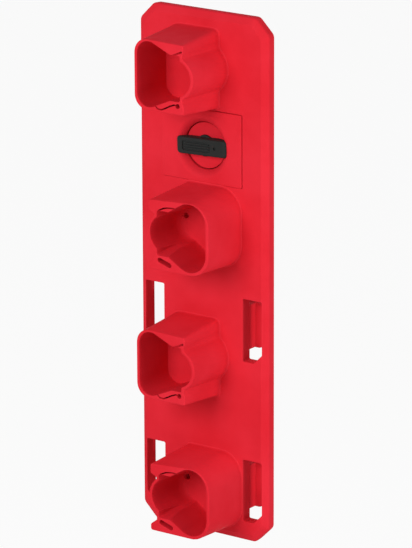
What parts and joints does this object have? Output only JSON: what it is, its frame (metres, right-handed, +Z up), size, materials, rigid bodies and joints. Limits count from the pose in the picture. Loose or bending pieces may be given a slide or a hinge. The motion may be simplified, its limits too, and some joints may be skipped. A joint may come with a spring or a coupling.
{
  "type": "battery holder",
  "caption": "Tall ribbed wall plate with battery sockets that face left and right in turn, hook feet behind it, slots beside the feet and a quarter-turn lock.",
  "frame": {"origin": "centre of the back face of the lower hook foot, on the wall", "axes": "+Z up along the plate, +Y into the wall, +X to the right as seen from the front"},
  "size_m": [0.1022, 0.0555, 0.356],
  "materials": {
    "red_plastic": "semi-matte moulded red, faint grain",
    "black_plastic": "satin moulded black",
    "zinc_steel": "bright zinc plate"
  },
  "bodies": {
    "holder": {"back_plate": "red_plastic", "bezel_screw_1": "zinc_steel", "bezel_screw_2": "zinc_steel", "bezel_screw_3": "zinc_steel", "bezel_screw_4": "zinc_steel", "lock_bezel": "red_plastic", "lock_spring": "zinc_steel", "lower_foot": "red_plastic", "lower_foot_screw_1": "zinc_steel", "lower_foot_screw_2": "zinc_steel", "lower_foot_screw_3": "zinc_steel", "lower_foot_screw_4": "zinc_steel", "socket_1": "red_plastic", "socket_1_screw_1": "zinc_steel", "socket_1_screw_2": "zinc_steel", "socket_1_screw_3": "zinc_steel", "socket_1_screw_4": "zinc_steel", "socket_2": "red_plastic", "socket_2_screw_1": "zinc_steel", "socket_2_screw_2": "zinc_steel", "socket_2_screw_3": "zinc_steel", "socket_2_screw_4": "zinc_steel", "socket_3": "red_plastic", "socket_3_screw_1": "zinc_steel", "socket_3_screw_2": "zinc_steel", "socket_3_screw_3": "zinc_steel", "socket_3_screw_4": "zinc_steel", "socket_4": "red_plastic", "socket_4_screw_1": "zinc_steel", "socket_4_screw_2": "zinc_steel", "socket_4_screw_3": "zinc_steel", "socket_4_screw_4": "zinc_steel", "upper_foot": "red_plastic", "upper_foot_screw_1": "zinc_steel", "upper_foot_screw_2": "zinc_steel", "upper_foot_screw_3": "zinc_steel", "upper_foot_screw_4": "zinc_steel"},
    "lock": {"lock_knob": "black_plastic", "lock_disc": "red_plastic", "lock_cam": "black_plastic", "lock_washer": "zinc_steel", "lock_screw": "zinc_steel"}
  },
  "joints": [
    {"name": "lock_turn", "type": "hinge", "parent": "holder", "child": "lock", "pos_m": [0, -0.0136, 0.23], "axis": [0, 1, 0], "range_deg": [0, 90]}
  ]
}
